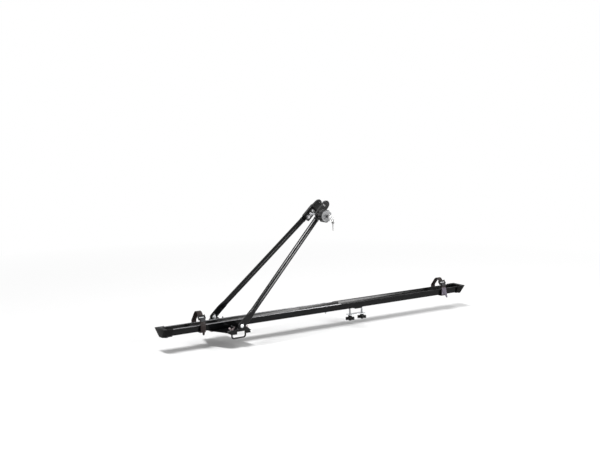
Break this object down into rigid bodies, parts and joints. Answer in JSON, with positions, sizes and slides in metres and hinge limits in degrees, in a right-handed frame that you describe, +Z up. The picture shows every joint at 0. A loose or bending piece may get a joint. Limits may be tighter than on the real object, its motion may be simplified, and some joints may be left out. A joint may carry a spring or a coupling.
{
  "type": "roof mounted bike carrier",
  "caption": "Roof bar bike carrier: beaded wheel rail, folding A-frame arm with a lockable screw clamp for the frame tube, sliding wheel straps and bar clamps.",
  "frame": {"origin": "middle of the underside of the front bar pad, where the carrier rests on the front roof bar, straight below the arm's pivot", "axes": "+X along the wheel rail to the rear, +Y across to the far side from the knob, +Z up"},
  "size_m": [1.372, 0.2242, 0.4782],
  "materials": {
    "black_steel": "satin black coating",
    "zinc": "bright zinc plate",
    "black_plastic": "fine moulded grain",
    "rubber": "matt",
    "brass": "turned",
    "grey_plastic": "satin moulded",
    "key_metal": "nickel plate",
    "strap": "flexible, lightly ribbed",
    "lever_metal": "dark plate"
  },
  "bodies": {
    "carrier": {"front_rail": "black_steel", "rear_rail": "black_steel", "rail_tongue": "black_steel", "tongue_rivets": "black_steel", "rail_joint_bolt": "zinc", "rail_joint_nut": "zinc", "front_end_cap": "black_plastic", "rear_end_cap": "black_plastic", "base_bracket": "black_steel", "base_pad": "rubber", "base_rail_bolts": "zinc", "base_rail_nuts": "zinc", "wing_nut_washers": "zinc", "pivot_bolts": "zinc", "pivot_nuts": "zinc", "pivot_washers": "zinc", "rear_pad": "rubber", "rear_clamp_bolts": "zinc"},
    "near_u": {"near_u_bolt": "black_steel"},
    "near_wing_a": {"near_front_wing_nut": "zinc"},
    "near_wing_b": {"near_rear_wing_nut": "zinc"},
    "far_u": {"far_u_bolt": "black_steel"},
    "far_wing_a": {"far_front_wing_nut": "zinc"},
    "far_wing_b": {"far_rear_wing_nut": "zinc"},
    "rear_plate": {"rear_clamp_plate": "zinc"},
    "star_a": {"rear_star_knob_front": "black_plastic"},
    "star_b": {"rear_star_knob_back": "black_plastic"},
    "arm": {"near_leg": "black_steel", "far_leg": "black_steel", "far_leg_bolt": "zinc", "far_leg_nut": "zinc", "far_jaw": "black_plastic", "far_jaw_lining": "rubber", "clamp_screw": "zinc"},
    "moving_jaw": {"near_jaw": "black_plastic", "near_jaw_lining": "rubber", "thrust_sleeve": "zinc"},
    "knob": {"clamp_knob": "black_plastic", "knob_insert": "brass", "knob_cap": "grey_plastic"},
    "lock": {"lock_core": "key_metal", "key": "key_metal"},
    "keys": {"key_ring": "key_metal", "spare_key": "key_metal"},
    "front_loop": {"front_strap": "strap", "front_buckle": "black_plastic"},
    "front_lever": {"front_buckle_lever": "lever_metal"},
    "rear_loop": {"rear_strap": "strap", "rear_buckle": "black_plastic"},
    "rear_lever": {"rear_buckle_lever": "lever_metal"}
  },
  "joints": [
    {"name": "arm_fold", "type": "hinge", "parent": "carrier", "child": "arm", "pos_m": [0, 0, 0.0225], "axis": [0, 1, 0], "range_deg": [-60, 38]},
    {"name": "knob_turn", "type": "hinge", "parent": "moving_jaw", "child": "knob", "pos_m": [0.38877, -0.07, 0.38125], "axis": [0, -1, 0], "range_deg": [-1080, 360]},
    {"name": "jaw_slide", "type": "slide", "parent": "arm", "child": "moving_jaw", "axis": [0, -1, 0], "range_m": [-0.0106, 0.00356]},
    {"name": "lock_turn", "type": "hinge", "parent": "knob", "child": "lock", "pos_m": [0.38877, -0.085, 0.38125], "axis": [0, -1, 0], "range_deg": [0, 90]},
    {"name": "keys_hang", "type": "hinge", "parent": "lock", "child": "keys", "pos_m": [0.38877, -0.1055, 0.38125], "axis": [0, -1, 0], "range_deg": [-90.1, 0.1]},
    {"name": "near_wing_a_turn", "type": "hinge", "parent": "carrier", "child": "near_wing_a", "pos_m": [-0.028, -0.08, 0.009], "axis": [0, 0, 1], "range_deg": [0, 2052]},
    {"name": "near_wing_b_turn", "type": "hinge", "parent": "carrier", "child": "near_wing_b", "pos_m": [0.028, -0.08, 0.009], "axis": [0, 0, 1], "range_deg": [-1, 2053]},
    {"name": "near_u_drop", "type": "slide", "parent": "carrier", "child": "near_u", "axis": [0, 0, -1], "range_m": [-0.0001, 0.0061]},
    {"name": "far_wing_a_turn", "type": "hinge", "parent": "carrier", "child": "far_wing_a", "pos_m": [-0.028, 0.08, 0.009], "axis": [0, 0, 1], "range_deg": [0, 2052]},
    {"name": "far_wing_b_turn", "type": "hinge", "parent": "carrier", "child": "far_wing_b", "pos_m": [0.028, 0.08, 0.009], "axis": [0, 0, 1], "range_deg": [-1, 2053]},
    {"name": "far_u_drop", "type": "slide", "parent": "carrier", "child": "far_u", "axis": [0, 0, -1], "range_m": [-0.0001, 0.0061]},
    {"name": "star_a_turn", "type": "hinge", "parent": "rear_plate", "child": "star_a", "pos_m": [0.548, 0, -0.034], "axis": [0, 0, 1], "range_deg": [0, 2736]},
    {"name": "star_b_turn", "type": "hinge", "parent": "rear_plate", "child": "star_b", "pos_m": [0.604, 0, -0.034], "axis": [0, 0, 1], "range_deg": [-1, 2737]},
    {"name": "rear_plate_drop", "type": "slide", "parent": "carrier", "child": "rear_plate", "axis": [0, 0, -1], "range_m": [-0.0002, 0.0102]},
    {"name": "front_strap_slide", "type": "slide", "parent": "carrier", "child": "front_loop", "axis": [1, 0, 0], "range_m": [-0.1, 0.012]},
    {"name": "rear_strap_slide", "type": "slide", "parent": "carrier", "child": "rear_loop", "axis": [1, 0, 0], "range_m": [-0.32, 0.045]},
    {"name": "front_lever_open", "type": "hinge", "parent": "front_loop", "child": "front_lever", "pos_m": [-0.119, -0.02628, 0.05783], "axis": [-1, 0, 0], "range_deg": [0, 70]},
    {"name": "rear_lever_open", "type": "hinge", "parent": "rear_loop", "child": "rear_lever", "pos_m": [0.985, -0.02538, 0.05647], "axis": [-1, 0, 0], "range_deg": [0, 70]}
  ],
  "couplings": [
    {"joint": "jaw_slide", "follows": "knob_turn", "m_per_rad": 0.00055704},
    {"joint": "keys_hang", "follows": "lock_turn", "ratio": -1},
    {"joint": "near_wing_b_turn", "follows": "near_wing_a_turn", "ratio": 1},
    {"joint": "near_u_drop", "follows": "near_wing_a_turn", "m_per_rad": 0.00015915},
    {"joint": "far_wing_b_turn", "follows": "far_wing_a_turn", "ratio": 1},
    {"joint": "far_u_drop", "follows": "far_wing_a_turn", "m_per_rad": 0.00015915},
    {"joint": "star_b_turn", "follows": "star_a_turn", "ratio": 1},
    {"joint": "rear_plate_drop", "follows": "star_a_turn", "m_per_rad": 0.00019894}
  ]
}
